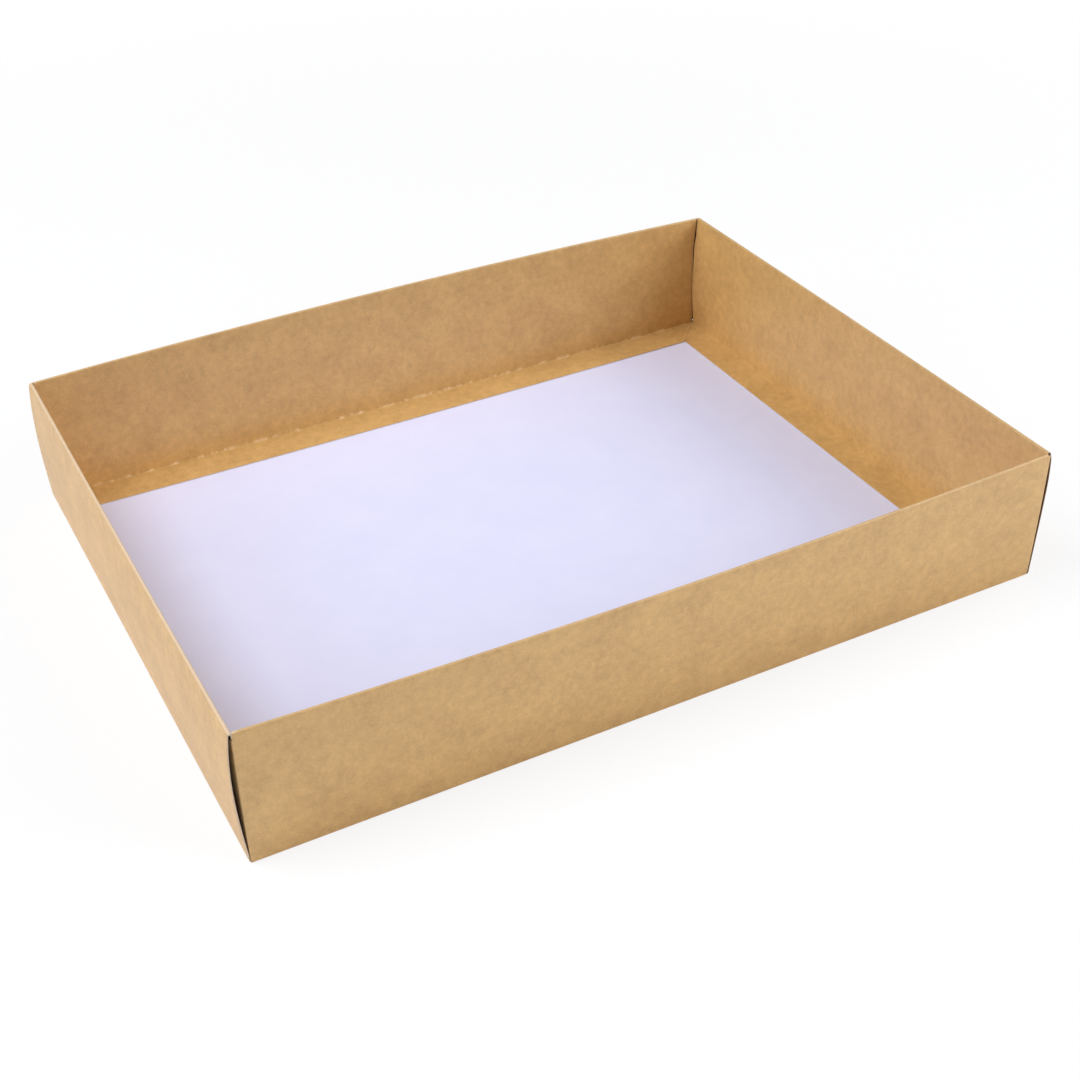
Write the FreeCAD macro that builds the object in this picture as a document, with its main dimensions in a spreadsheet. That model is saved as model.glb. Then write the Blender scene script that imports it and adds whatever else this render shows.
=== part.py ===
import FreeCAD, Part
import Sketcher
import math
import os

# Tray folded from one blank of kraft board with a white reverse, in millimetres.
# +X runs along the long walls, +Y away from the front wall, +Z up.
# The origin is the middle of the tray's box, on the surface that the tray stands on.
# Each wall rises from the base, rolls over at the rim and comes down again inside as a
# second panel, whose foot turns inward and lies on the base as a flange.
# The long walls turn the corners as flaps, which stand inside the hollow short walls.

SIZES = {
    "tray_length": 400.0,        # over the feet of the two short walls
    "tray_width": 305.1,         # over the feet of the two long walls
    "tray_height": 68.5,         # to the top of the rims
    "board": 0.5,                # thickness of the board
    "fold_inside": 0.2,          # inside radius of a pressed fold
    "short_fold_inside": 0.8,    # the same where a swollen short wall leaves the base
    "long_rim_gap": 0.6,         # space between the two layers under a long rim
    "short_rim_gap": 0.6,        # the same at the middle of a short rim
    "flap_slack": 0.7,           # extra space at a short rim's ends, beside the corner flap
    "long_foot_gap": 2.35,       # space between the layers at a long wall's foot
    "short_foot_gap": 2.4,       # the same at a short wall's foot
    "long_flange": 18.85,        # depth of the flange on the base, along a long wall
    "flange_belly": 1.1,         # how much deeper a long flange is at its middle
    "short_flange": 16.8,        # depth of the flange along a short wall
    "flange_lift": 0.15,         # height at which the flanges lie over the base
    "front_bow": 4.3,            # how far a long rim's middle stands out from its ends
    "back_bow": 6.4,
    "left_front_lean": 0.5,      # how far a short rim stands out from its foot
    "left_middle_lean": 0.75,
    "left_back_lean": 0.4,
    "right_front_lean": 1.5,
    "right_middle_lean": 2.0,
    "right_back_lean": 1.15,
    "left_swell": 1.45,          # swell of a short outer panel at mid height
    "right_swell": 0.8,
    "left_corner_lean": 0.1,     # how far a corner fold's top stands out from its bottom
    "right_corner_lean": 0.9,
    "edge_setback": 0.75,        # a short outer panel's free edge to the long wall's face
    "flap_clearance": 0.05,      # a corner flap's face to the short outer panel's foot
    "panel_clearance": 0.25,     # an inner panel's free edge to the wall that it meets
    "mitre_gap": 0.2,            # slit between two flanges at a corner
    "flap_length": 40.0,         # corner flap past its fold
    "flap_taper": 8.0,           # fall of the flap's top edge towards its free end
    "flap_rise": 4.0,            # rise of its bottom edge towards its free end
    "flap_lean": 0.35,           # how much further its free end's top leans out
    "flap_drop": 0.8,            # the flap's top edge below the start of the rim
    "corner_notch": 0.6,         # relief cut at the bottom of each corner fold
}
SHEET = "sizes"
NODE = "folded_tray"
CUT_MARGIN = 5.0                 # how far a trimming cut reaches past the board


class Size:
    """A length as text for the sheet's expressions, with its value at the start."""

    def __init__(self, text, value):
        self.text = text
        self.value = value

    def join(self, sign, other, value):
        text = other.text if isinstance(other, Size) else repr(float(other))
        return Size("(%s %s %s)" % (self.text, sign, text), value)

    def __add__(self, other):
        return self.join("+", other, self.value + number(other))

    def __sub__(self, other):
        return self.join("-", other, self.value - number(other))

    def __mul__(self, other):
        return self.join("*", other, self.value * number(other))

    def __truediv__(self, other):
        return self.join("/", other, self.value / number(other))

    def __neg__(self):
        return Size("(-%s)" % self.text, -self.value)


def number(item):
    return item.value if isinstance(item, Size) else float(item)


def root(size):
    return Size("sqrt(%s)" % size.text, math.sqrt(size.value))


def larger(one, other):
    return Size("max(%s; %s)" % (one.text, other.text), max(one.value, other.value))


def bind(thing, path, size):
    thing.setExpression(path, size.text)


doc = FreeCAD.newDocument("tray")
sheet = doc.addObject("Spreadsheet::Sheet", SHEET)
for row, (alias, value) in enumerate(SIZES.items(), start=1):
    sheet.set("A%d" % row, alias)
    sheet.set("B%d" % row, str(value))
    sheet.setAlias("B%d" % row, alias)
doc.recompute()


def cell(alias):
    return Size("%s.%s" % (SHEET, alias), SIZES[alias])


board = cell("board")
height = cell("tray_height")
inside = cell("fold_inside")
outside = inside + board
short_inside = cell("short_fold_inside")
short_outside = short_inside + board
half_length = cell("tray_length") / 2
half_width = cell("tray_width") / 2
clearance = cell("panel_clearance")

# Rolled rims and feet, measured from the wall's outer face to the inner panel's face
long_rim = board * 2 + cell("long_rim_gap")
short_rim = board * 2 + cell("short_rim_gap")
short_rim_end = short_rim + cell("flap_slack")
long_foot = board * 2 + cell("long_foot_gap")
short_foot = board * 2 + cell("short_foot_gap")

# Flanges
flange_back = board + cell("flange_lift")
flange_top = flange_back + board

# Corner folds: at the bottom the flap's face stands just inside the short outer panel
corner_bottom = outside + cell("corner_notch")
corner_top = height - long_rim / 2
corner_face = half_length - board - cell("flap_clearance")
corner_fold = corner_face - outside


def origin_plane(body, role):
    for feature in body.Origin.OriginFeatures:
        if feature.Role == role:
            return feature
    raise ValueError("no origin plane " + role)


def new_sketch(body, name, role, offset):
    sketch = body.newObject("Sketcher::SketchObject", name)
    sketch.AttachmentSupport = (origin_plane(body, role), [""])
    sketch.MapMode = "FlatFace"
    bind(sketch, ".AttachmentOffset.Base.z", offset)
    return sketch


def add_line(sketch, start, end):
    points = [FreeCAD.Vector(number(x), number(y), 0) for x, y in (start, end)]
    return sketch.addGeometry(Part.LineSegment(*points), False)


def add_arc(sketch, centre, radius, first, last):
    middle = FreeCAD.Vector(number(centre[0]), number(centre[1]), 0)
    circle = Part.Circle(middle, FreeCAD.Vector(0, 0, 1), number(radius))
    arc = Part.ArcOfCircle(circle, math.radians(first), math.radians(last))
    return sketch.addGeometry(arc, False)


def add_arc_between(sketch, start, end, radius):
    """Arc that turns left from start to end, swollen to the right of its chord."""
    first = FreeCAD.Vector(number(start[0]), number(start[1]), 0)
    last = FreeCAD.Vector(number(end[0]), number(end[1]), 0)
    half = (last - first) * 0.5
    reach = math.sqrt(number(radius) ** 2 - half.Length ** 2) / half.Length
    centre = first + half + FreeCAD.Vector(-half.y, half.x, 0) * reach
    angles = [math.degrees(math.atan2(p.y - centre.y, p.x - centre.x)) for p in (first, last)]
    return add_arc(sketch, (centre.x, centre.y), radius, *angles)


def tie(sketch, kind, *items):
    return sketch.addConstraint(Sketcher.Constraint(kind, *items))


def dimension(sketch, kind, items, size):
    index = tie(sketch, kind, *items, number(size))
    bind(sketch, "Constraints[%d]" % index, size)


def place(sketch, geometry, point, x=None, y=None):
    """Fix a point's distance from the sketch's origin along x, y or both."""
    if x is not None:
        dimension(sketch, "DistanceX", (-1, 1, geometry, point), x)
    if y is not None:
        dimension(sketch, "DistanceY", (-1, 1, geometry, point), y)


def add_polygon(sketch, points):
    """Closed outline with every corner placed by its own two sizes."""
    lines = [add_line(sketch, a, b) for a, b in zip(points, points[1:] + points[:1])]
    for before, after in zip(lines, lines[1:] + lines[:1]):
        tie(sketch, "Coincident", before, 2, after, 1)
    for geometry, (x, y) in zip(lines, points):
        place(sketch, geometry, 1, x, y)


START, END, CENTRE = range(1, 4)


def wall_section(body, name, station, lean, rim, foot, flange, fold, swell_radius=None):
    """Outline of the folded board across a wall: +x outward from the foot, +y up."""
    sketch = new_sketch(body, name, "YZ_Plane", station)
    roll = rim / 2
    rim_start = height - roll
    fold_centre = (-fold, fold)
    rim_centre = (lean - roll, rim_start)
    crease_centre = (-foot - inside, flange_top + inside)
    flange_end = -foot - flange

    def panel(start, end):
        if swell_radius is None:
            return add_line(sketch, start, end)
        return add_arc_between(sketch, start, end, swell_radius)

    # The kraft face, from under the base to the flange's free edge
    fold_face = add_arc(sketch, fold_centre, fold, -90, 0)
    outer_face = panel((0, fold), (lean, rim_start))
    rim_face = add_arc(sketch, rim_centre, roll, 0, 180)
    inner_face = add_line(sketch, (lean - rim, rim_start), (-foot, crease_centre[1]))
    crease_face = add_arc(sketch, crease_centre, inside, -90, 0)
    flange_face = add_line(sketch, (crease_centre[0], flange_top), (flange_end, flange_top))
    flange_edge = add_line(sketch, (flange_end, flange_top), (flange_end, flange_back))
    # The white reverse, back to the base
    flange_reverse = add_line(sketch, (flange_end, flange_back), (crease_centre[0], flange_back))
    crease_reverse = add_arc(sketch, crease_centre, outside, -90, 0)
    inner_reverse = add_line(
        sketch, (board - foot, crease_centre[1]), (lean - rim + board, rim_start))
    rim_reverse = add_arc(sketch, rim_centre, roll - board, 0, 180)
    outer_reverse = panel((-board, fold), (lean - board, rim_start))
    fold_reverse = add_arc(sketch, fold_centre, fold - board, -90, 0)
    base_edge = add_line(sketch, (-fold, board), (-fold, 0))

    panel_start, panel_end = START, END
    joints = [
        (fold_face, END, outer_face, START), (outer_face, END, rim_face, START),
        (rim_face, END, inner_face, START), (inner_face, END, crease_face, END),
        (crease_face, START, flange_face, START), (flange_face, END, flange_edge, START),
        (flange_edge, END, flange_reverse, START),
        (flange_reverse, END, crease_reverse, START),
        (crease_reverse, END, inner_reverse, START), (inner_reverse, END, rim_reverse, END),
        (rim_reverse, START, outer_reverse, panel_end),
        (outer_reverse, panel_start, fold_reverse, END),
        (fold_reverse, START, base_edge, START), (base_edge, END, fold_face, START),
        (fold_face, CENTRE, fold_reverse, CENTRE), (rim_face, CENTRE, rim_reverse, CENTRE),
        (crease_face, CENTRE, crease_reverse, CENTRE),
    ]
    for joint in joints:
        tie(sketch, "Coincident", *joint)
    for arc in (fold_face, fold_reverse, crease_face, crease_reverse):
        tie(sketch, "Vertical", arc, CENTRE, arc, START)
        tie(sketch, "Horizontal", arc, CENTRE, arc, END)
    for arc in (rim_face, rim_reverse):
        tie(sketch, "Horizontal", arc, CENTRE, arc, START)
        tie(sketch, "Horizontal", arc, CENTRE, arc, END)
    tie(sketch, "Horizontal", flange_face)
    tie(sketch, "Vertical", flange_edge)
    tie(sketch, "Horizontal", flange_reverse)

    place(sketch, fold_face, CENTRE, -fold, fold)
    place(sketch, rim_face, START, lean, rim_start)
    place(sketch, crease_face, END, x=-foot)
    place(sketch, crease_face, START, y=flange_top)
    place(sketch, flange_face, END, x=flange_end)
    radii = [(fold_face, fold), (fold_reverse, fold - board), (rim_face, roll),
             (rim_reverse, roll - board), (crease_face, inside), (crease_reverse, outside)]
    for arc, radius in radii:
        dimension(sketch, "Radius", (arc,), radius)
    if swell_radius is not None:
        dimension(sketch, "Radius", (outer_face,), swell_radius)
        tie(sketch, "Equal", outer_face, outer_reverse)
    return sketch


def loft(body, name, sketches):
    feature = body.newObject("PartDesign::AdditiveLoft", name)
    feature.Profile = sketches[0]
    feature.Sections = sketches[1:]
    return feature


def pocket(body, name, sketch, depth):
    """Cut along the sketch's own normal."""
    feature = body.newObject("PartDesign::Pocket", name)
    feature.Profile = sketch
    feature.Reversed = True
    bind(feature, "Length", depth)
    return feature


def trim_end(body, name, sign, outline, plane, depth):
    """Cut one end of a wall to an outline, from a plane inward."""
    sketch = new_sketch(body, name + "_outline", "XZ_Plane", plane)
    add_polygon(sketch, [(x * sign, z) for x, z in outline])
    pocket(body, name, sketch, depth)


def mitre_flange(body, crease_corner, field_corner, foot, flange):
    """Cut both ends of the flange on the line from the crease to the white field."""
    near = -foot - inside
    far = -foot - flange
    slope = (crease_corner - field_corner) / flange
    slit = cell("mitre_gap") / 2
    end_near = crease_corner - slope * inside - slit
    end_far = field_corner - slope * CUT_MARGIN - slit
    outer = crease_corner + CUT_MARGIN
    bottom = flange_back - cell("flange_lift") / 2
    for side, sign in (("right", 1), ("left", -1)):
        sketch = new_sketch(body, "%s_mitre_outline" % side, "XY_Plane", bottom)
        points = [(end_near, near), (outer, near), (outer, far - CUT_MARGIN),
                  (end_far, far - CUT_MARGIN)]
        add_polygon(sketch, [(x * sign, y) for x, y in points])
        pocket(body, "%s_mitre" % side, sketch, board + cell("flange_lift"))


def corner_section(body, name, fold, sign, level):
    """Quarter ring of board from the wall's end round to the flap's start."""
    sketch = new_sketch(body, name, "XY_Plane", level)
    centre = (fold * sign, -outside)
    first, last = (0, 90) if sign > 0 else (90, 180)
    face = add_arc(sketch, centre, outside, first, last)
    reverse = add_arc(sketch, centre, inside, first, last)
    flap_side, wall_side = (START, END) if sign > 0 else (END, START)
    flap_end = add_line(sketch, ((fold + inside) * sign, -outside),
                        ((fold + outside) * sign, -outside))
    wall_end = add_line(sketch, (fold * sign, 0), (fold * sign, -board))
    for joint in [(flap_end, END, face, flap_side), (face, wall_side, wall_end, START),
                  (wall_end, END, reverse, wall_side), (reverse, flap_side, flap_end, START),
                  (face, CENTRE, reverse, CENTRE)]:
        tie(sketch, "Coincident", *joint)
    tie(sketch, "Horizontal", face, CENTRE, face, flap_side)
    tie(sketch, "Vertical", face, CENTRE, face, wall_side)
    tie(sketch, "Horizontal", flap_end)
    tie(sketch, "Vertical", wall_end)
    place(sketch, face, CENTRE, *centre)
    dimension(sketch, "Radius", (face,), outside)
    dimension(sketch, "Radius", (reverse,), inside)
    return sketch


def corner_flap(body, side, sign, corner_lean):
    """Turn the outer panel's end round the corner into a flap that tapers inward."""
    top_fold = corner_fold + corner_lean
    outer = top_fold + CUT_MARGIN
    above = height + CUT_MARGIN
    edge = [(corner_fold, board * 0 - CUT_MARGIN), (corner_fold, corner_bottom),
            (top_fold, corner_top), (top_fold, above), (outer, above),
            (outer, board * 0 - CUT_MARGIN)]
    trim_end(body, side + "_edge_trim", sign, edge, -board, board * 3)
    turn = [corner_section(body, side + "_fold_bottom", corner_fold, sign, corner_bottom),
            corner_section(body, side + "_fold_top", top_fold, sign, corner_top)]
    loft(body, side + "_corner_fold", turn)

    def upright(low, high, lean):
        slope = corner_lean / (corner_top - corner_bottom)
        foot = corner_face + slope * (low - corner_bottom)
        head = corner_face + slope * (high - corner_bottom) + lean
        corners = [(foot - board, low), (foot, low), (head, high), (head - board, high)]
        return [(x * sign, z) for x, z in corners]

    flap_start = new_sketch(body, side + "_flap_start", "XZ_Plane", outside)
    add_polygon(flap_start, upright(corner_bottom, corner_top - cell("flap_drop"), board * 0))
    flap_end = new_sketch(body, side + "_flap_end", "XZ_Plane",
                          outside + cell("flap_length"))
    add_polygon(flap_end, upright(corner_bottom + cell("flap_rise"),
                                  corner_top - cell("flap_taper"), cell("flap_lean")))
    loft(body, side + "_flap", [flap_start, flap_end])


def new_body(name, turn, x, y):
    """Body whose +y points outward, turned about the tray's middle to its side."""
    body = doc.addObject("PartDesign::Body", name)
    body.Placement = FreeCAD.Placement(
        FreeCAD.Vector(number(x), number(y), 0),
        FreeCAD.Rotation(FreeCAD.Vector(0, 0, 1), turn))
    bind(body, "Placement.Base.x", x)
    bind(body, "Placement.Base.y", y)
    return body


def long_wall(name, turn, y, bow, ends):
    """Wall with a corner flap at each end: (side, sign, short wall's lean, corner's lean)."""
    zero = board * 0
    body = new_body(name, turn, zero, y)
    shape = (long_rim, long_foot)
    depth = cell("long_flange")
    reach = corner_fold + larger(cell("left_corner_lean"), cell("right_corner_lean"))
    sections = [
        wall_section(body, "left_section", -reach, zero, *shape, depth, outside),
        wall_section(body, "middle_section", zero, bow, *shape,
                     depth + cell("flange_belly"), outside),
        wall_section(body, "right_section", reach, zero, *shape, depth, outside)]
    loft(body, "wall", sections)
    bottom = board + cell("flange_lift") / 2
    outer = reach + CUT_MARGIN
    above = height + CUT_MARGIN
    for side, sign, short_lean, corner_lean in ends:
        end = half_length + short_lean - short_rim_end - clearance
        outline = [(end, bottom), (outer, bottom), (outer, above), (end, above)]
        trim_end(body, side + "_end_trim", sign, outline,
                 board + cell("flap_clearance"), long_foot + depth)
    crease = half_length - short_foot
    mitre_flange(body, crease, crease - cell("short_flange"), long_foot, depth)
    for side, sign, short_lean, corner_lean in ends:
        corner_flap(body, side, sign, corner_lean)
    return body


def short_swell_radius(swell):
    """Radius of the arc to which a short wall's outer panel swells."""
    rise = height - short_rim_end / 2 - short_outside
    return swell / 2 + rise * rise / (swell * 8)


def short_wall(name, turn, x, leans, swell):
    body = new_body(name, turn, x, board * 0)
    shape = (short_foot, cell("short_flange"), short_outside, short_swell_radius(swell))
    half = half_width - cell("edge_setback")
    start_lean, middle_lean, end_lean = leans
    sections = [
        wall_section(body, "left_section", -half, start_lean, short_rim_end, *shape),
        wall_section(body, "middle_section", board * 0, middle_lean, short_rim, *shape),
        wall_section(body, "right_section", half, end_lean, short_rim_end, *shape)]
    loft(body, "wall", sections)

    # The inner panel narrows with the long walls' slope, and the rim runs on over them
    foot_end = half_width - long_foot - inside - clearance
    top_end = half_width - long_rim - clearance
    bottom = board + cell("flange_lift") / 2
    step = height - short_rim_end
    outer = half + CUT_MARGIN
    outline = [(foot_end, bottom), (outer, bottom), (outer, step), (top_end, step)]
    for side, sign in (("right", 1), ("left", -1)):
        trim_end(body, side + "_end_trim", sign, outline,
                 board + cell("flap_clearance"), short_foot + cell("short_flange"))
    crease = half_width - long_foot
    mitre_flange(body, crease, crease - cell("long_flange"), short_foot,
                 cell("short_flange"))
    return body


def base_panel():
    """The flat base between the four pressed folds."""
    body = doc.addObject("PartDesign::Body", "base_panel")
    sketch = new_sketch(body, "base_outline", "XY_Plane", board * 0)
    x = half_length - short_outside
    y = half_width - outside
    add_polygon(sketch, [(-x, -y), (x, -y), (x, y), (-x, y)])
    pad = body.newObject("PartDesign::Pad", "base")
    pad.Profile = sketch
    bind(pad, "Length", board)
    return body


def short_reach(leans, swell):
    """How far a swollen short wall stands out from its foot, at its widest."""
    radius = short_swell_radius(swell)
    widest = board * 0
    for lean, rim in zip(leans, (short_rim_end, short_rim, short_rim_end)):
        rise = height - rim / 2 - short_outside
        chord = root(lean * lean + rise * rise)
        sink = root(radius * radius - chord * chord / 4)
        widest = larger(widest, radius + lean / 2 - sink * rise / chord)
    return widest


left_leans = [cell("left_%s_lean" % part) for part in ("front", "middle", "back")]
right_leans = [cell("right_%s_lean" % part) for part in ("back", "middle", "front")]
left_corner = cell("left_corner_lean")
right_corner = cell("right_corner_lean")
front_ends = [("right", 1, left_leans[0], left_corner),
              ("left", -1, right_leans[2], right_corner)]
back_ends = [("right", 1, right_leans[0], right_corner),
             ("left", -1, left_leans[2], left_corner)]
panels = [
    base_panel(),
    long_wall("front_wall", 180, -half_width, cell("front_bow"), front_ends),
    long_wall("back_wall", 0, half_width, cell("back_bow"), back_ends),
    short_wall("left_wall", 90, -half_length, left_leans, cell("left_swell")),
    short_wall("right_wall", -90, half_length, right_leans, cell("right_swell")),
]
tray = doc.addObject("Part::MultiFuse", NODE)
tray.Label = NODE
tray.Shapes = panels
tray.Refine = False
bind(tray, "Placement.Base.x", (short_reach(left_leans, cell("left_swell"))
                                - short_reach(right_leans, cell("right_swell"))) / 2)
bind(tray, "Placement.Base.y", (cell("front_bow") - cell("back_bow")) / 2)
doc.recompute()

for item in doc.Objects:
    if "Invalid" in item.State or "Error" in item.State:
        raise RuntimeError("%s failed: %s" % (item.Name, item.State))
shape = tray.Shape
if shape.isNull() or not shape.isValid() or len(shape.Solids) != 1:
    raise RuntimeError("the folded tray isn't one valid solid")
os.makedirs("parts", exist_ok=True)
shape.exportStep(os.path.join("parts", NODE + ".step"))
box = shape.optimalBoundingBox(True, False)
print("volume %.1f mm3 from panels of %.1f mm3, box %s" % (
    shape.Volume, sum(panel.Shape.Volume for panel in panels), box))
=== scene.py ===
import bmesh
import bpy
import math
from dataclasses import dataclass
from mathutils import Matrix, Vector


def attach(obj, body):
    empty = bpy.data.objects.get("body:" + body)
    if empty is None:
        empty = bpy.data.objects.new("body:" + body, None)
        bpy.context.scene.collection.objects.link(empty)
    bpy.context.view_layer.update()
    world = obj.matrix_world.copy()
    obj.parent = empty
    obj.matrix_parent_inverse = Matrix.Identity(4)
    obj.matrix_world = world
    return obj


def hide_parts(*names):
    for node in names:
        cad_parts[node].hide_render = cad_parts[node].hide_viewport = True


# A tray folded from one sheet of kraft board with a white reverse.
# The sheet's kraft face is modelled as one surface: the base is a grid, each wall is
# turned up from its edge row by row, rolled over at the rim and brought down again
# inside, and a corner flap is turned in from each end of the long walls.
# The surface then gets the board's thickness, its white reverse and its cut edge.
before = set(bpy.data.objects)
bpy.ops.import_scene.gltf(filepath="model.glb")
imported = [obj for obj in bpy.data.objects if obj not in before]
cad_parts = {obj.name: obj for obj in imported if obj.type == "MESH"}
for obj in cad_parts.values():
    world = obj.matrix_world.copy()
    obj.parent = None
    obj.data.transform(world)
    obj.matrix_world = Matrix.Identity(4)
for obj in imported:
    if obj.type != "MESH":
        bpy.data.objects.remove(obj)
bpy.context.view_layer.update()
MM = 0.001
SAME_PLACE = MM / 100       # points closer than this count as one

# The sheet, in millimetres, with the sizes of the construction
HEIGHT = 68.5
HALF_LENGTH = 200.0
HALF_WIDTH = 152.55
BOARD = 0.5
FOLD = 0.7                  # outside radius of a pressed fold
SHORT_FOLD = 1.3            # the same where a short wall leaves the base
LEFT_FOLD = 1.9             # the left wall leaves the base in a softer fold
CREASE = 0.2                # radius of the crease where a wall comes down inside
RIM = 1.6                   # width of a rolled rim
FLANGE_TOP = 1.15           # the flanges' kraft face over the floor
LONG_FOOT = 3.35            # outer face to inner panel at the foot of a long wall
SHORT_FOOT = 3.4            # the same at the foot of a short wall
LONG_FLANGE = 18.85
FLANGE_BELLY = 1.1          # how much deeper a long flange is at its middle
SHORT_FLANGE = 16.8
LEFT_FLANGE = 15.2          # the left one is a little narrower
MITRE_GAP = 0.15
FLAP_LENGTH = 40.0
FLAP_TAPER = 8.0            # how far a flap's top edge drops towards its free end
FLAP_RISE = 4.0             # how far its lower edge rises towards that end
FLAP_LEAN = 0.35            # how much further that end leans out at its top
FRONT_BOW = 4.35            # how far a long wall's rim bows out at its middle
BACK_BOW = 6.5

# How far out the rim of a short wall leans, at its front, middle and back
LEFT_LEANS = (0.7, 0.4, 0.1)
RIGHT_LEANS = (1.9, 2.0, 1.2)
# How far its outer panel swells there over the flaps inside, and how high up it is
# fullest: 1 is halfway, more is higher
LEFT_SWELLS = (1.95, 1.75, 1.5)
LEFT_SKEW = 1.3
RIGHT_SWELLS = (1.5, 0.9, 0.9)
RIGHT_SKEW = 2.0

# The end of a short outer panel changes its setback between these heights
SETBACK_LOW = 12.0
SETBACK_HIGH = 40.0
# The end of a short inner panel curls in over this share of half its length, grows to
# its full curl over this share of its height and fades out over this share at its foot
CURL_LENGTH = 0.14
CURL_GROWTH = 0.25
CURL_FADE = 1 / 3

# The tray's middle between its feet, in the frame of the construction
MIDDLE_X = -0.127
MIDDLE_Y = -1.05

# How the surface is divided
LENGTH_CELLS = 60
WIDTH_CELLS = 60
FOLD_STEPS = 4
RIM_STEPS = 8
PANEL_LEVELS = (1.3, 5.0, 10.0, 16.0, 23.0, 31.0, 39.0, 47.0, 54.0, 60.0, 65.0)
INNER_STEPS = 8
FLANGE_STEPS = 3
FLAP_REACHES = (0.01, 0.05, 0.33, 0.67, 1.0)
SMOOTH_ANGLE = 35           # faces that meet at less than this many degrees look rounded


def through(t, first, middle, last):
    """Value at t of the curve through three values at t = -1, 0 and 1."""
    return middle + (last - first) / 2 * t + ((last + first) / 2 - middle) * t * t


def between(t, first, last):
    """Value at t of the line through two values at t = -1 and 1."""
    return (first + last) / 2 + (last - first) / 2 * t


def swell_shape(s, skew):
    """Swell of a panel between its foot and its rim, 1 at its fullest."""
    fullest = skew / (skew + 1)
    return s ** skew * (1 - s) / (fullest ** skew * (1 - fullest))


@dataclass
class Corner:
    """How the sheet meets at one corner: a long wall turns in as a flap, and the short
    wall stands over the flap with the ends of its panels and of its rolled rim."""

    foot: float                     # the flap's face, out from the middle, at its foot
    belly: float                    # the same halfway up
    top: float                      # the same at its top
    fold: float = 1.0               # outside radius of the fold that turns the flap in
    crest: float = 0.0              # how far that fold rises over the long wall's panel
    flap_drop: float = 0.8          # how far the flap's top edge lies under the rim
    flap_lean: float = 0.0          # how far the flap's top leans out from the fold
    long_rim_cut: float = 0.0       # how much shorter than its panel the long rim is
    rim_end: float = 2.3            # width of the short rim at its end
    rim_setback: float = 0.75       # how far that end stays behind the long wall's face
    foot_setback: float = 0.3       # the same for the short outer panel, at its foot
    edge_setback: float = 0.3       # the same for the upper part of that panel
    panel_gap: float = 0.25         # from an inner panel's free edge to the other wall
    curl: float = 0.0               # how far the end of the short inner panel curls in

    def face(self, level):
        return through(2 * level / HEIGHT - 1, self.foot, self.belly, self.top)


class Wall:
    """How one wall of the sheet stands. Places along it run towards +X or +Y.

    t runs from -1 at one end of the wall to 1 at the other, and side is one of the two.
    s runs from 0 to 1 up the outer panel and down the inner one.
    """

    def __init__(self, out, half_out, fold, foot, lean, corners):
        self.out = Vector((out[0], out[1], 0))
        self.along = Vector((abs(out[1]), abs(out[0]), 0))
        self.half_out = half_out
        self.fold = fold
        self.foot = foot
        self.lean = lean
        self.corners = corners

    def place(self, along, out, up):
        flat = self.along * along + self.out * (self.half_out + out)
        return (flat + Vector((MIDDLE_X, MIDDLE_Y, up))) * MM


class LongWall(Wall):
    """Front or back wall: it bows outward and carries the corner flaps."""

    def __init__(self, out, bow, corners, short_leans):
        super().__init__(out, HALF_WIDTH, FOLD, LONG_FOOT,
                         lambda t: bow * (1 - t * t), corners)
        self.short_leans = short_leans

    def rim(self, t):
        return RIM

    def end_curl(self, t, s):
        return 0

    def swell(self, t, s):
        return 0

    def outer_end(self, side, level):
        return side * (self.corners[side].face(level) - self.corners[side].fold)

    def rim_end(self, side, turn):
        """The rim's end lies over the outer panel's, and from its top over the inner's."""
        if turn >= math.pi / 2:
            return self.inner_end(side, 0)
        cut = self.corners[side].long_rim_cut if turn > 0 else 0
        return self.outer_end(side, HEIGHT) - side * cut

    def inner_end(self, side, s):
        corner = self.corners[side]
        inside = HALF_LENGTH + self.short_leans[side] - corner.rim_end
        return side * (inside - corner.panel_gap - corner.curl * min(1, s / CURL_GROWTH))

    def flange_depth(self, t):
        return LONG_FLANGE + FLANGE_BELLY * (1 - t * t)

    def mitre(self, side, depth):
        corner = HALF_LENGTH - SHORT_FOOT
        return side * (corner - SHORT_FLANGE / LONG_FLANGE * depth - MITRE_GAP / 2)


class ShortWall(Wall):
    """Left or right wall: its outer panel swells over the corner flaps inside it."""

    def __init__(self, out, fold, flange, leans, swells, skew, corners):
        super().__init__(out, HALF_LENGTH, fold, SHORT_FOOT,
                         lambda t: through(t, *leans), corners)
        self.flange = flange
        self.swells = swells
        self.skew = skew

    def rim(self, t):
        return through(t, self.corners[-1].rim_end, RIM, self.corners[1].rim_end)

    def end_curl(self, t, s):
        share = max(0, (abs(t) - 1 + CURL_LENGTH) / CURL_LENGTH)
        height = min(1, s / CURL_GROWTH) / max(CURL_FADE, 1 - s)
        return self.corners[1 if t > 0 else -1].curl * share * share * height

    def swell(self, t, s):
        return through(t, *self.swells) * swell_shape(s, self.skew)

    def outer_end(self, side, level):
        corner = self.corners[side]
        share = min(1, max(0, (level - SETBACK_LOW) / (SETBACK_HIGH - SETBACK_LOW)))
        setback = corner.foot_setback + (corner.edge_setback - corner.foot_setback) * share
        return side * (HALF_WIDTH - setback)

    def rim_end(self, side, turn):
        return side * (HALF_WIDTH - self.corners[side].rim_setback)

    def inner_end(self, side, s):
        top = HALF_WIDTH - RIM
        foot = HALF_WIDTH - LONG_FOOT
        return side * (top + (foot - top) * s - self.corners[side].panel_gap)

    def flange_depth(self, t):
        return self.flange

    def mitre(self, side, depth):
        corner = HALF_WIDTH - LONG_FOOT
        return side * (corner - LONG_FLANGE / SHORT_FLANGE * depth - MITRE_GAP / 2)


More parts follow.
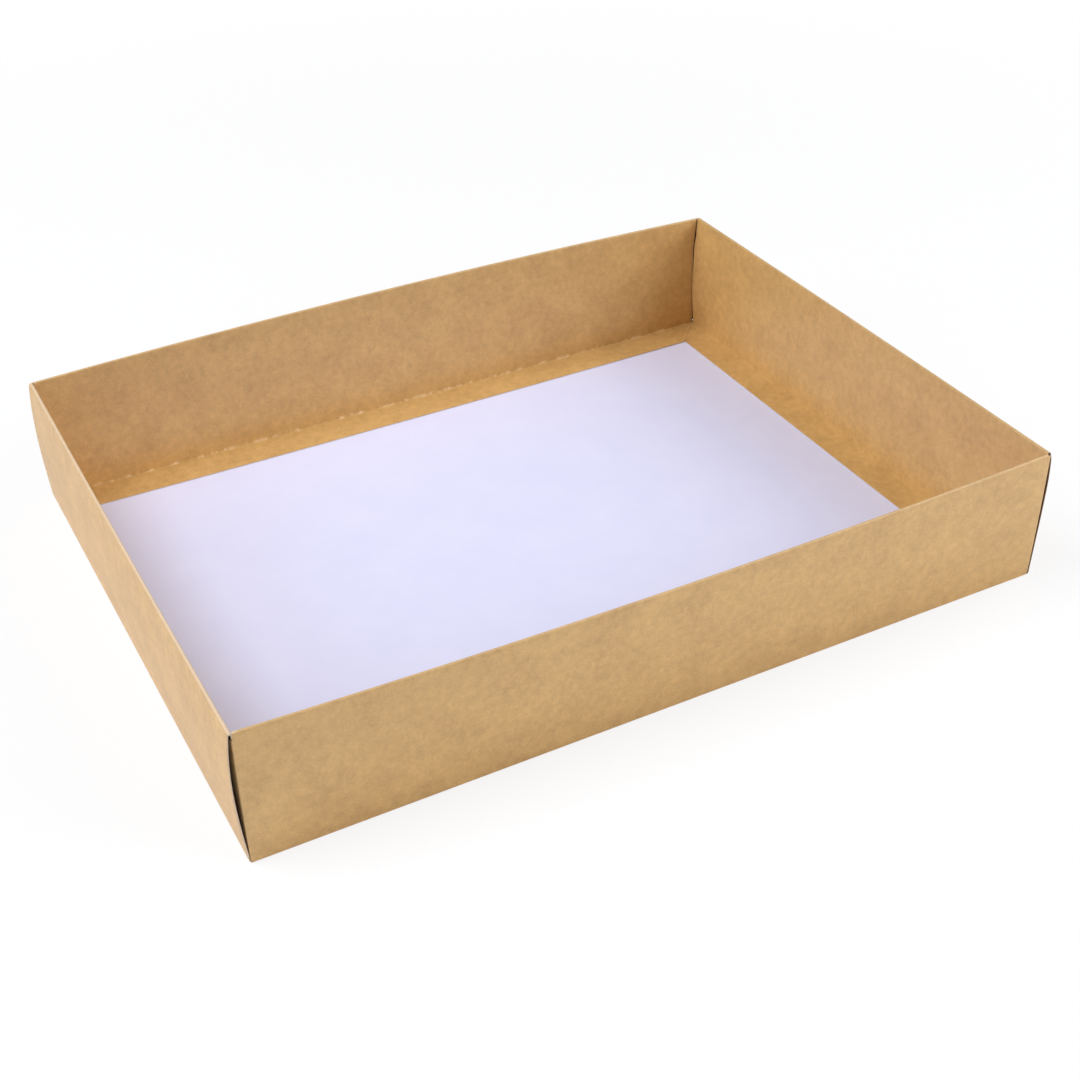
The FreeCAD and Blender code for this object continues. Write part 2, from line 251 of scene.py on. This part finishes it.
def wall_rows(wall):
    """Rows of the kraft face, from the base's edge to the flange's free edge.

    Each row gives the place along the wall, how far out and how high at t.
    """
    rows = []

    def bottom_fold(t, turn):
        along = between(t, wall.outer_end(-1, 0), wall.outer_end(1, 0))
        return (along, wall.fold * (math.sin(turn) - 1), wall.fold * (1 - math.cos(turn)))

    def outer_panel(t, level):
        top = HEIGHT - wall.rim(t) / 2
        s = (level - wall.fold) / (top - wall.fold)
        along = between(t, wall.outer_end(-1, level), wall.outer_end(1, level))
        return (along, wall.lean(t) * s + wall.swell(t, s), level)

    def rim(t, turn):
        roll = wall.rim(t) / 2
        along = between(t, wall.rim_end(-1, turn), wall.rim_end(1, turn))
        return (along, wall.lean(t) - roll * (1 - math.cos(turn)),
                HEIGHT - roll * (1 - math.sin(turn)))

    def inner_panel(t, s):
        top = HEIGHT - wall.rim(t) / 2
        foot = FLANGE_TOP + CREASE
        out = wall.lean(t) - wall.rim(t) - wall.end_curl(t, s)
        along = between(t, wall.inner_end(-1, s), wall.inner_end(1, s))
        return (along, out + (-wall.foot - out) * s, top + (foot - top) * s)

    def crease(t, turn):
        depth = CREASE * (1 - math.cos(turn))
        along = between(t, wall.mitre(-1, depth), wall.mitre(1, depth))
        return (along, -wall.foot - depth, FLANGE_TOP + CREASE * (1 - math.sin(turn)))

    def flange(t, s):
        depth = CREASE + (wall.flange_depth(t) - CREASE) * s
        along = between(t, wall.mitre(-1, depth), wall.mitre(1, depth))
        return (along, -wall.foot - depth, FLANGE_TOP)

    for step in range(1, FOLD_STEPS + 1):
        turn = math.pi / 2 * step / FOLD_STEPS
        rows.append(lambda t, turn=turn: bottom_fold(t, turn))
    for level in PANEL_LEVELS:
        if level > wall.fold:
            rows.append(lambda t, level=level: outer_panel(t, level))
    for step in range(RIM_STEPS + 1):
        turn = math.pi * step / RIM_STEPS
        rows.append(lambda t, turn=turn: rim(t, turn))
    for step in range(1, INNER_STEPS + 1):
        rows.append(lambda t, s=step / INNER_STEPS: inner_panel(t, s))
    for step in range(1, FOLD_STEPS + 1):
        turn = math.pi / 2 * step / FOLD_STEPS
        rows.append(lambda t, turn=turn: crease(t, turn))
    for step in range(1, FLANGE_STEPS + 1):
        rows.append(lambda t, s=step / FLANGE_STEPS: flange(t, s))
    return rows


def select_edges(mesh, chosen):
    """Select the free edges whose two ends are both chosen points, and nothing else."""
    bpy.ops.mesh.select_all(action="DESELECT")
    chosen = set(chosen)
    for edge in mesh.edges:
        if edge.verts[0] in chosen and edge.verts[1] in chosen and edge.is_boundary:
            edge.select_set(True)


def pull_row(sheet, axis, place_at):
    """Extrude the selected edges and put the new row's points, sorted along an axis.

    place_at gives a point's place from its number in the row and the last number.
    """
    bpy.ops.mesh.extrude_edges_move()
    mesh = bmesh.from_edit_mesh(sheet.data)
    row = sorted((v for v in mesh.verts if v.select), key=lambda v: v.co.dot(axis))
    for number, vert in enumerate(row):
        vert.co = place_at(number, len(row) - 1)
    bmesh.update_edit_mesh(sheet.data)


def turn_up_wall(sheet, wall):
    """Turn a wall up from the base and fold it over to its flange."""
    mesh = bmesh.from_edit_mesh(sheet.data)
    middle = Vector((MIDDLE_X, MIDDLE_Y, 0)) * MM
    edge = (wall.half_out - wall.fold) * MM
    select_edges(mesh, [v for v in mesh.verts
                        if abs((v.co - middle).dot(wall.out) - edge) < SAME_PLACE
                        and v.co.z < SAME_PLACE])
    bpy.context.tool_settings.mesh_select_mode = (False, True, False)
    for row in wall_rows(wall):
        def place_at(number, last):
            return wall.place(*row(2 * number / last - 1))
        pull_row(sheet, wall.along, place_at)


def turn_in_flap(sheet, wall, side):
    """Turn the end of a long wall's outer panel round the corner as a tucked flap."""
    mesh = bmesh.from_edit_mesh(sheet.data)
    meeting = wall.corners[side]
    top = HEIGHT - RIM / 2
    levels = [level for level in PANEL_LEVELS if level > FOLD] + [top]

    def pull_upright_row(beyond, inward, low, high):
        """A row beyond the panel's end, from its low to its high end. beyond gives how
        far at a level, and inward how far behind the long wall's face the row is."""
        def place_at(number, last):
            level = levels[number]
            share = (level - levels[0]) / (top - levels[0])
            return wall.place(wall.outer_end(side, level) + side * beyond(level),
                              -inward, low + (high - low) * share)
        pull_row(sheet, Vector((0, 0, 1)), place_at)

    ends = [wall.place(wall.outer_end(side, level), 0, level) for level in levels]
    select_edges(mesh, [v for v in mesh.verts
                        if min((v.co - end).length for end in ends) < SAME_PLACE])
    for step in range(1, FOLD_STEPS + 1):
        turn = math.pi / 2 * step / FOLD_STEPS
        pull_upright_row(lambda level: meeting.fold * math.sin(turn),
                         meeting.fold * (1 - math.cos(turn)),
                         levels[0], top + meeting.crest * math.sin(turn))
    for reach in FLAP_REACHES:
        # The first row still belongs to the fold and has its height
        first = reach == FLAP_REACHES[0]
        drop = -meeting.crest if first else meeting.flap_drop
        lean = FLAP_LEAN * reach + (0 if first else meeting.flap_lean)
        pull_upright_row(lambda level: meeting.fold + lean * level / top,
                         meeting.fold + FLAP_LENGTH * reach,
                         levels[0] + FLAP_RISE * reach,
                         top - drop - (FLAP_TAPER - meeting.flap_drop) * reach)


# The four corners, told apart by the photograph, in millimetres
front_left = Corner(199.3, 199.6, 199.35, fold=0.6, crest=-0.05, flap_lean=0.45,
                    rim_end=1.9, rim_setback=0.0)
front_right = Corner(199.6, 200.85, 201.2, fold=1.6, crest=0.4, long_rim_cut=0.5,
                     rim_setback=1.6, edge_setback=1.0)
back_left = Corner(199.45, 199.5, 199.55)
back_right = Corner(199.45, 199.9, 200.35, panel_gap=0.75, curl=1.9)

left_wall = ShortWall((-1, 0), LEFT_FOLD, LEFT_FLANGE, LEFT_LEANS, LEFT_SWELLS, LEFT_SKEW,
                      {-1: front_left, 1: back_left})
right_wall = ShortWall((1, 0), SHORT_FOLD, SHORT_FLANGE, RIGHT_LEANS, RIGHT_SWELLS, RIGHT_SKEW,
                       {-1: front_right, 1: back_right})
front_wall = LongWall((0, -1), FRONT_BOW, {-1: front_left, 1: front_right},
                      {-1: LEFT_LEANS[0], 1: RIGHT_LEANS[0]})
back_wall = LongWall((0, 1), BACK_BOW, {-1: back_left, 1: back_right},
                     {-1: LEFT_LEANS[2], 1: RIGHT_LEANS[2]})


def fold_sheet(materials):
    """The whole folded sheet: kraft face, white reverse and cut edge."""
    bpy.ops.object.select_all(action="DESELECT")
    bpy.ops.mesh.primitive_grid_add(x_subdivisions=LENGTH_CELLS, y_subdivisions=WIDTH_CELLS,
                                    size=2)
    sheet = bpy.context.object
    sheet.name = "folded_sheet"
    bpy.ops.object.mode_set(mode="EDIT")
    bpy.ops.transform.resize(value=((HALF_LENGTH - (LEFT_FOLD + SHORT_FOLD) / 2) * MM,
                                    (HALF_WIDTH - FOLD) * MM, 1))
    bpy.ops.transform.translate(value=((MIDDLE_X + (LEFT_FOLD - SHORT_FOLD) / 2) * MM,
                                       MIDDLE_Y * MM, 0))
    bpy.ops.mesh.flip_normals()
    for wall in (front_wall, back_wall, left_wall, right_wall):
        turn_up_wall(sheet, wall)
    for wall in (front_wall, back_wall):
        for side in (-1, 1):
            turn_in_flap(sheet, wall, side)
    bpy.ops.object.mode_set(mode="OBJECT")
    for material in materials:
        sheet.data.materials.append(material)
    board = sheet.modifiers.new("board", "SOLIDIFY")
    board.thickness = BOARD * MM
    board.offset = -1
    board.use_even_offset = True
    board.material_offset = 1
    board.material_offset_rim = 2
    bpy.ops.object.modifier_apply(modifier=board.name)
    bpy.ops.object.shade_smooth_by_angle(angle=math.radians(SMOOTH_ANGLE))
    return sheet


def linear(value):
    """sRGB hex text to a linear colour."""
    channels = [int(value[i:i + 2], 16) / 255 for i in (1, 3, 5)]
    return tuple(c / 12.92 if c <= 0.04045 else ((c + 0.055) / 1.055) ** 2.4
                 for c in channels) + (1.0,)


def add(tree, kind, inputs=None, **settings):
    """Add a node with its settings; an input is a value or the socket that feeds it.

    Sockets go by name, or by number where names repeat: a Mix node has its share in
    input 0, its two colours in inputs 6 and 7 and its mixed colour in output 2.
    """
    node = tree.nodes.new(kind)
    for name, value in settings.items():
        setattr(node, name, value)
    for name, value in (inputs or {}).items():
        if isinstance(value, bpy.types.NodeSocket):
            tree.links.new(value, node.inputs[name])
        else:
            node.inputs[name].default_value = value
    return node


def new_material(name, roughness):
    """A material with its node tree, its shader and the tray's own coordinates."""
    material = bpy.data.materials.new(name)
    material.use_nodes = True
    tree = material.node_tree
    shader = tree.nodes["Principled BSDF"]
    shader.inputs["Roughness"].default_value = roughness
    coordinates = add(tree, "ShaderNodeTexCoord").outputs["Object"]
    return material, tree, shader, coordinates


def per_mm(size):
    """Noise scale for spots of a size in millimetres."""
    return 1 / (size * MM)


def spot(tree, place, centre, reach):
    """Mask of an oval mark with a soft edge, 1 inside and 0 beyond its reach from the
    centre along X, Y and Z, in millimetres."""
    middle = Vector(centre) * MM
    offset = add(tree, "ShaderNodeVectorMath", {0: place, 1: middle}, operation="SUBTRACT")
    share = [1 / (r * MM) for r in reach]
    scaled = add(tree, "ShaderNodeVectorMath", {0: offset.outputs[0], 1: share},
                 operation="MULTIPLY")
    away = add(tree, "ShaderNodeVectorMath", {0: scaled.outputs[0]}, operation="LENGTH")
    return add(tree, "ShaderNodeMapRange", {"Value": away.outputs["Value"], "From Min": 1.0,
                                            "From Max": 0.4}).outputs[0]


# Sizes of the board's patterns, in millimetres
CLOUD_SIZE = 22.0
PULP_SIZE = 4.0
FIBRE_SIZE = 0.9            # real fibres are a tenth of this width, too fine to show
FIBRE_HEIGHT = 0.15
WHITE_CLOUD_SIZE = 30.0
EDGE_PULP_SIZE = 1.5

# Places where the board looks different, in millimetres. Each pair of heights or of
# places along X is where the difference starts and where it is full.
# The first two say where the rims are worn and carry a painted highlight, strongest on the left
# rim
RIM_WEAR_AND_HIGHLIGHT_Z = (67.9, 68.5)
LEFT_RIM_HIGHLIGHT_X = (-196.0, -198.5)
# Where the white reverse inside the hollow walls gets painted shade
HOLLOW_SHADE_X = (196.0, 197.0)
# Where the cut edge at the right end gets painted shade
RIGHT_EDGE_SHADE_X = (198.5, 200.0)
# Centre and reach of a mark, and how strong it is, with its colour
BACK_CREASE = ((0, 148.2, 1.2), (400, 1.1, 1.6))
# The last two are painted shade: a short dark slit and a faint upright dent
SLIT_SHADE = ((-201.5, -0.9, 16.7), (6, 2.6, 0.45), 0.8, "#6B4A2C")
DENT_SHADE = ((-201.5, -31.6, 26.3), (6, 0.7, 4.6), 0.3, "#8F6A45")


def kraft_liner():
    """Unbleached kraft liner, calendered and matt: clouds of pulp, fine fibres that
    catch the light, rims worn pale with a painted highlight on them, worn pale specks along the
    back crease, and the painted shade of a small slit and of a dent."""
    material, tree, shader, place = new_material("kraft_liner", 0.5)
    clouds = add(tree, "ShaderNodeTexNoise", {"Vector": place, "Scale": per_mm(CLOUD_SIZE),
                                              "Detail": 3, "Roughness": 0.55})
    pulp = add(tree, "ShaderNodeTexNoise", {"Vector": place, "Scale": per_mm(PULP_SIZE),
                                            "Detail": 3, "Roughness": 0.6})
    fibres = add(tree, "ShaderNodeTexNoise", {"Vector": place, "Scale": per_mm(FIBRE_SIZE),
                                              "Detail": 2, "Roughness": 0.6})
    # All three set the tone, and its start brings the mean to the middle of the range
    tone = -0.64
    for noise, weight in ((clouds, 0.77), (pulp, 1.05), (fibres, 0.75)):
        tone = add(tree, "ShaderNodeMath", {0: noise.outputs["Fac"], 1: weight, 2: tone},
                   operation="MULTIPLY_ADD").outputs[0]
    tone = add(tree, "ShaderNodeMapRange", {"Value": tone, "From Min": 0.3, "From Max": 1.0})
    board = add(tree, "ShaderNodeMix", {0: tone.outputs[0], 6: linear("#C19452"),
                                        7: linear("#DDB169")}, data_type="RGBA")
    # Wear and a painted highlight make the rolled rims pale along their tops, where the light
    # catches them; the painted highlight is strongest on the left rim
    axes = add(tree, "ShaderNodeSeparateXYZ", {0: place})
    wear_and_highlight_strength = add(tree, "ShaderNodeMapRange", {"Value": axes.outputs["X"],
                                            "From Min": LEFT_RIM_HIGHLIGHT_X[0] * MM,
                                            "From Max": LEFT_RIM_HIGHLIGHT_X[1] * MM,
                                            "To Min": 0.15, "To Max": 0.7})
    rim_wear_and_highlight = add(tree, "ShaderNodeMapRange", {"Value": axes.outputs["Z"],
                                                "From Min": RIM_WEAR_AND_HIGHLIGHT_Z[0] * MM,
                                                "From Max": RIM_WEAR_AND_HIGHLIGHT_Z[1] * MM,
                                                "To Max": wear_and_highlight_strength.outputs[0]},
                   interpolation_type="SMOOTHSTEP")
    board = add(tree, "ShaderNodeMix", {0: rim_wear_and_highlight.outputs[0], 6: board.outputs[2],
                                        7: linear("#F2DABC")}, data_type="RGBA")
    # Pressing wears the crease of the back wall in pale specks
    specks = add(tree, "ShaderNodeMapRange", {"Value": pulp.outputs["Fac"], "From Min": 0.5,
                                              "From Max": 0.68})
    worn = add(tree, "ShaderNodeMath", {0: spot(tree, place, *BACK_CREASE),
                                        1: specks.outputs[0]}, operation="MULTIPLY")
    board = add(tree, "ShaderNodeMix", {0: worn.outputs[0], 6: board.outputs[2],
                                        7: linear("#F0D3A6")}, data_type="RGBA")
    # Painted shade of a short slit and of a faint upright dent low on the left wall
    for centre, reach, strength, colour in (SLIT_SHADE, DENT_SHADE):
        painted_shade = add(tree, "ShaderNodeMath", {0: spot(tree, place, centre, reach), 1: strength},
                   operation="MULTIPLY")
        board = add(tree, "ShaderNodeMix", {0: painted_shade.outputs[0], 6: board.outputs[2],
                                            7: linear(colour)}, data_type="RGBA")
    tree.links.new(board.outputs[2], shader.inputs["Base Color"])
    # The calendered face turns paler towards a flat angle
    shader.inputs["Specular IOR Level"].default_value = 1.0
    shader.inputs["Sheen Weight"].default_value = 0.1
    bump = add(tree, "ShaderNodeBump", {"Height": fibres.outputs["Fac"], "Strength": 0.25,
                                        "Distance": FIBRE_HEIGHT * MM})
    tree.links.new(bump.outputs["Normal"], shader.inputs["Normal"])
    return material


def white_liner():
    """Bleached white reverse of the board: smooth, dull, with a cool cast, and painted dark
    brown as shade inside the hollow short walls.
    """
    material, tree, shader, place = new_material("white_liner", 0.6)
    clouds = add(tree, "ShaderNodeTexNoise", {"Vector": place,
                                              "Scale": per_mm(WHITE_CLOUD_SIZE),
                                              "Detail": 3, "Roughness": 0.6})
    board = add(tree, "ShaderNodeMix", {0: clouds.outputs["Fac"], 6: linear("#E1E1FB"),
                                        7: linear("#E9EAFF")}, data_type="RGBA")
    # Painted shade: little light gets into the hollow short walls, so the white reverse there
    # is painted dark brown
    axes = add(tree, "ShaderNodeSeparateXYZ", {0: place})
    out = add(tree, "ShaderNodeMath", {0: axes.outputs["X"]}, operation="ABSOLUTE")
    hollow_shade = add(tree, "ShaderNodeMapRange", {"Value": out.outputs[0],
                                              "From Min": HOLLOW_SHADE_X[0] * MM,
                                              "From Max": HOLLOW_SHADE_X[1] * MM})
    board = add(tree, "ShaderNodeMix", {0: hollow_shade.outputs[0], 6: board.outputs[2],
                                        7: linear("#5E4632")}, data_type="RGBA")
    tree.links.new(board.outputs[2], shader.inputs["Base Color"])
    return material


def cut_edge():
    """Die-cut edge: rough pulp between the two liners, with painted shade darkening it at the
    right end, where it lies in the dark gaps of the corners.
    """
    material, tree, shader, place = new_material("cut_edge", 0.85)
    pulp = add(tree, "ShaderNodeTexNoise", {"Vector": place,
                                            "Scale": per_mm(EDGE_PULP_SIZE), "Detail": 2})
    edge = add(tree, "ShaderNodeMix", {0: pulp.outputs["Fac"], 6: linear("#C9AE8E"),
                                       7: linear("#E2CDB4")}, data_type="RGBA")
    axes = add(tree, "ShaderNodeSeparateXYZ", {0: place})
    # Painted shade: the cut edge at the right end, in the dark gaps of the corners, is painted
    # dark brown
    right_edge_shade = add(tree, "ShaderNodeMapRange", {"Value": axes.outputs["X"],
                                              "From Min": RIGHT_EDGE_SHADE_X[0] * MM,
                                              "From Max": RIGHT_EDGE_SHADE_X[1] * MM,
                                              "To Max": 0.9})
    edge = add(tree, "ShaderNodeMix", {0: right_edge_shade.outputs[0], 6: edge.outputs[2],
                                       7: linear("#7C5C3E")}, data_type="RGBA")
    tree.links.new(edge.outputs[2], shader.inputs["Base Color"])
    return material


# The studio, in metres and watts
FLOOR_SIZE = 8.0
SHADOW_REACH = 0.35         # the floor shows the tray's shadow fully up to this distance
PLAIN_REACH = 0.9           # and is plain white to the camera from this one
NEAR_WHITE = 0.8            # share of plain white in what the camera sees of it near by
WORLD_STRENGTH = 0.15
LIGHT_SIZE = 1.0
LIGHT_COLOUR = (0.98, 1.0, 1.06)        # daylight, a little cool
LIGHTS = (("left_light", (-1.55, 0.35, 0.8), 9.6),
          ("right_front_light", (1.1, -1.2, 0.9), 16.4),
          ("right_light", (1.6, 0, 0.8), 8.0),
          ("top_left_light", (-0.8, 0.2, 1.6), 18.4))

# The camera, fitted to the photograph's edges: its turn round the tray, its height and
# its roll in degrees, and its place beside, over and behind the tray's middle in metres
CAMERA_TURN = (-27.1492, 35.0118, -1.2731)
CAMERA_BESIDE = 0.00972
CAMERA_OVER = -0.00364
CAMERA_BEHIND = 0.8562
CAMERA_SHIFT = 0.45         # millimetres along X from the tray's middle
PHOTO_WIDTH = 1080          # pixels
FOCAL_LENGTH = 1683         # pixels of the photograph
SENSOR_WIDTH = 36           # millimetres


def studio_floor():
    """White painted floor: plain white to the camera, with the tray's shadow beside it."""
    material, tree, shader, place = new_material("floor_paint", 0.9)
    shader.inputs["Base Color"].default_value = linear("#FFFFFF")
    glow = add(tree, "ShaderNodeEmission", {"Color": (1, 1, 1, 1), "Strength": 1})
    seen = add(tree, "ShaderNodeLightPath").outputs["Is Camera Ray"]
    away = add(tree, "ShaderNodeVectorMath", {0: place}, operation="LENGTH")
    plain = add(tree, "ShaderNodeMapRange", {"Value": away.outputs["Value"],
                                             "From Min": SHADOW_REACH,
                                             "From Max": PLAIN_REACH,
                                             "To Min": NEAR_WHITE, "To Max": 1.0})
    share = add(tree, "ShaderNodeMath", {0: seen, 1: plain.outputs[0]},
                operation="MULTIPLY")
    both = add(tree, "ShaderNodeMixShader", {0: share.outputs[0], 1: shader.outputs[0],
                                             2: glow.outputs[0]})
    tree.links.new(both.outputs[0], tree.nodes["Material Output"].inputs["Surface"])
    return material


def set_camera():
    """The camera stands as it stood for the photograph."""
    azimuth, elevation, roll = (math.radians(angle) for angle in CAMERA_TURN)
    back = Vector((math.sin(azimuth) * math.cos(elevation),
                   -math.cos(azimuth) * math.cos(elevation), math.sin(elevation)))
    side = Vector((0, 0, 1)).cross(back).normalized()
    up = back.cross(side)
    x = math.cos(roll) * side + math.sin(roll) * up
    y = -math.sin(roll) * side + math.cos(roll) * up
    place = CAMERA_BESIDE * x + CAMERA_OVER * y + CAMERA_BEHIND * back
    place += Vector((MIDDLE_X + CAMERA_SHIFT, MIDDLE_Y, 0)) * MM
    data = bpy.data.cameras.new("camera")
    data.sensor_width = SENSOR_WIDTH
    data.lens = FOCAL_LENGTH / PHOTO_WIDTH * SENSOR_WIDTH
    camera = bpy.data.objects.new("camera", data)
    bpy.context.scene.collection.objects.link(camera)
    camera.matrix_world = Matrix.Translation(place) @ Matrix((x, y, back)).transposed().to_4x4()
    bpy.context.scene.camera = camera


def set_world():
    """Weak even light from all round, and a white backdrop to the camera."""
    world = bpy.data.worlds.new("studio")
    world.use_nodes = True
    tree = world.node_tree
    backdrop = tree.nodes["Background"]
    backdrop.inputs["Color"].default_value = (1, 1, 1, 1)
    seen = add(tree, "ShaderNodeLightPath").outputs["Is Camera Ray"]
    level = add(tree, "ShaderNodeMix", {0: seen, 2: WORLD_STRENGTH, 3: 1.0})
    tree.links.new(level.outputs[0], backdrop.inputs["Strength"])
    bpy.context.scene.world = world


def soft_box(name, place, energy):
    """Square soft light that faces the tray."""
    data = bpy.data.lights.new(name, "AREA")
    data.energy = energy
    data.color = LIGHT_COLOUR
    data.size = LIGHT_SIZE
    lamp = bpy.data.objects.new(name, data)
    lamp.location = place
    lamp.rotation_euler = Vector(place).to_track_quat("Z", "Y").to_euler()
    bpy.context.scene.collection.objects.link(lamp)


set_camera()
sheet = fold_sheet([kraft_liner(), white_liner(), cut_edge()])
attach(sheet, "root")
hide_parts("folded_tray")

bpy.ops.object.select_all(action="DESELECT")
bpy.ops.mesh.primitive_plane_add(size=FLOOR_SIZE, location=(0, 0, 0))
floor = bpy.context.object
floor.name = "floor"
floor.data.materials.append(studio_floor())
set_world()
for name, place, energy in LIGHTS:
    soft_box(name, place, energy)
bpy.context.scene.view_settings.view_transform = "Standard"
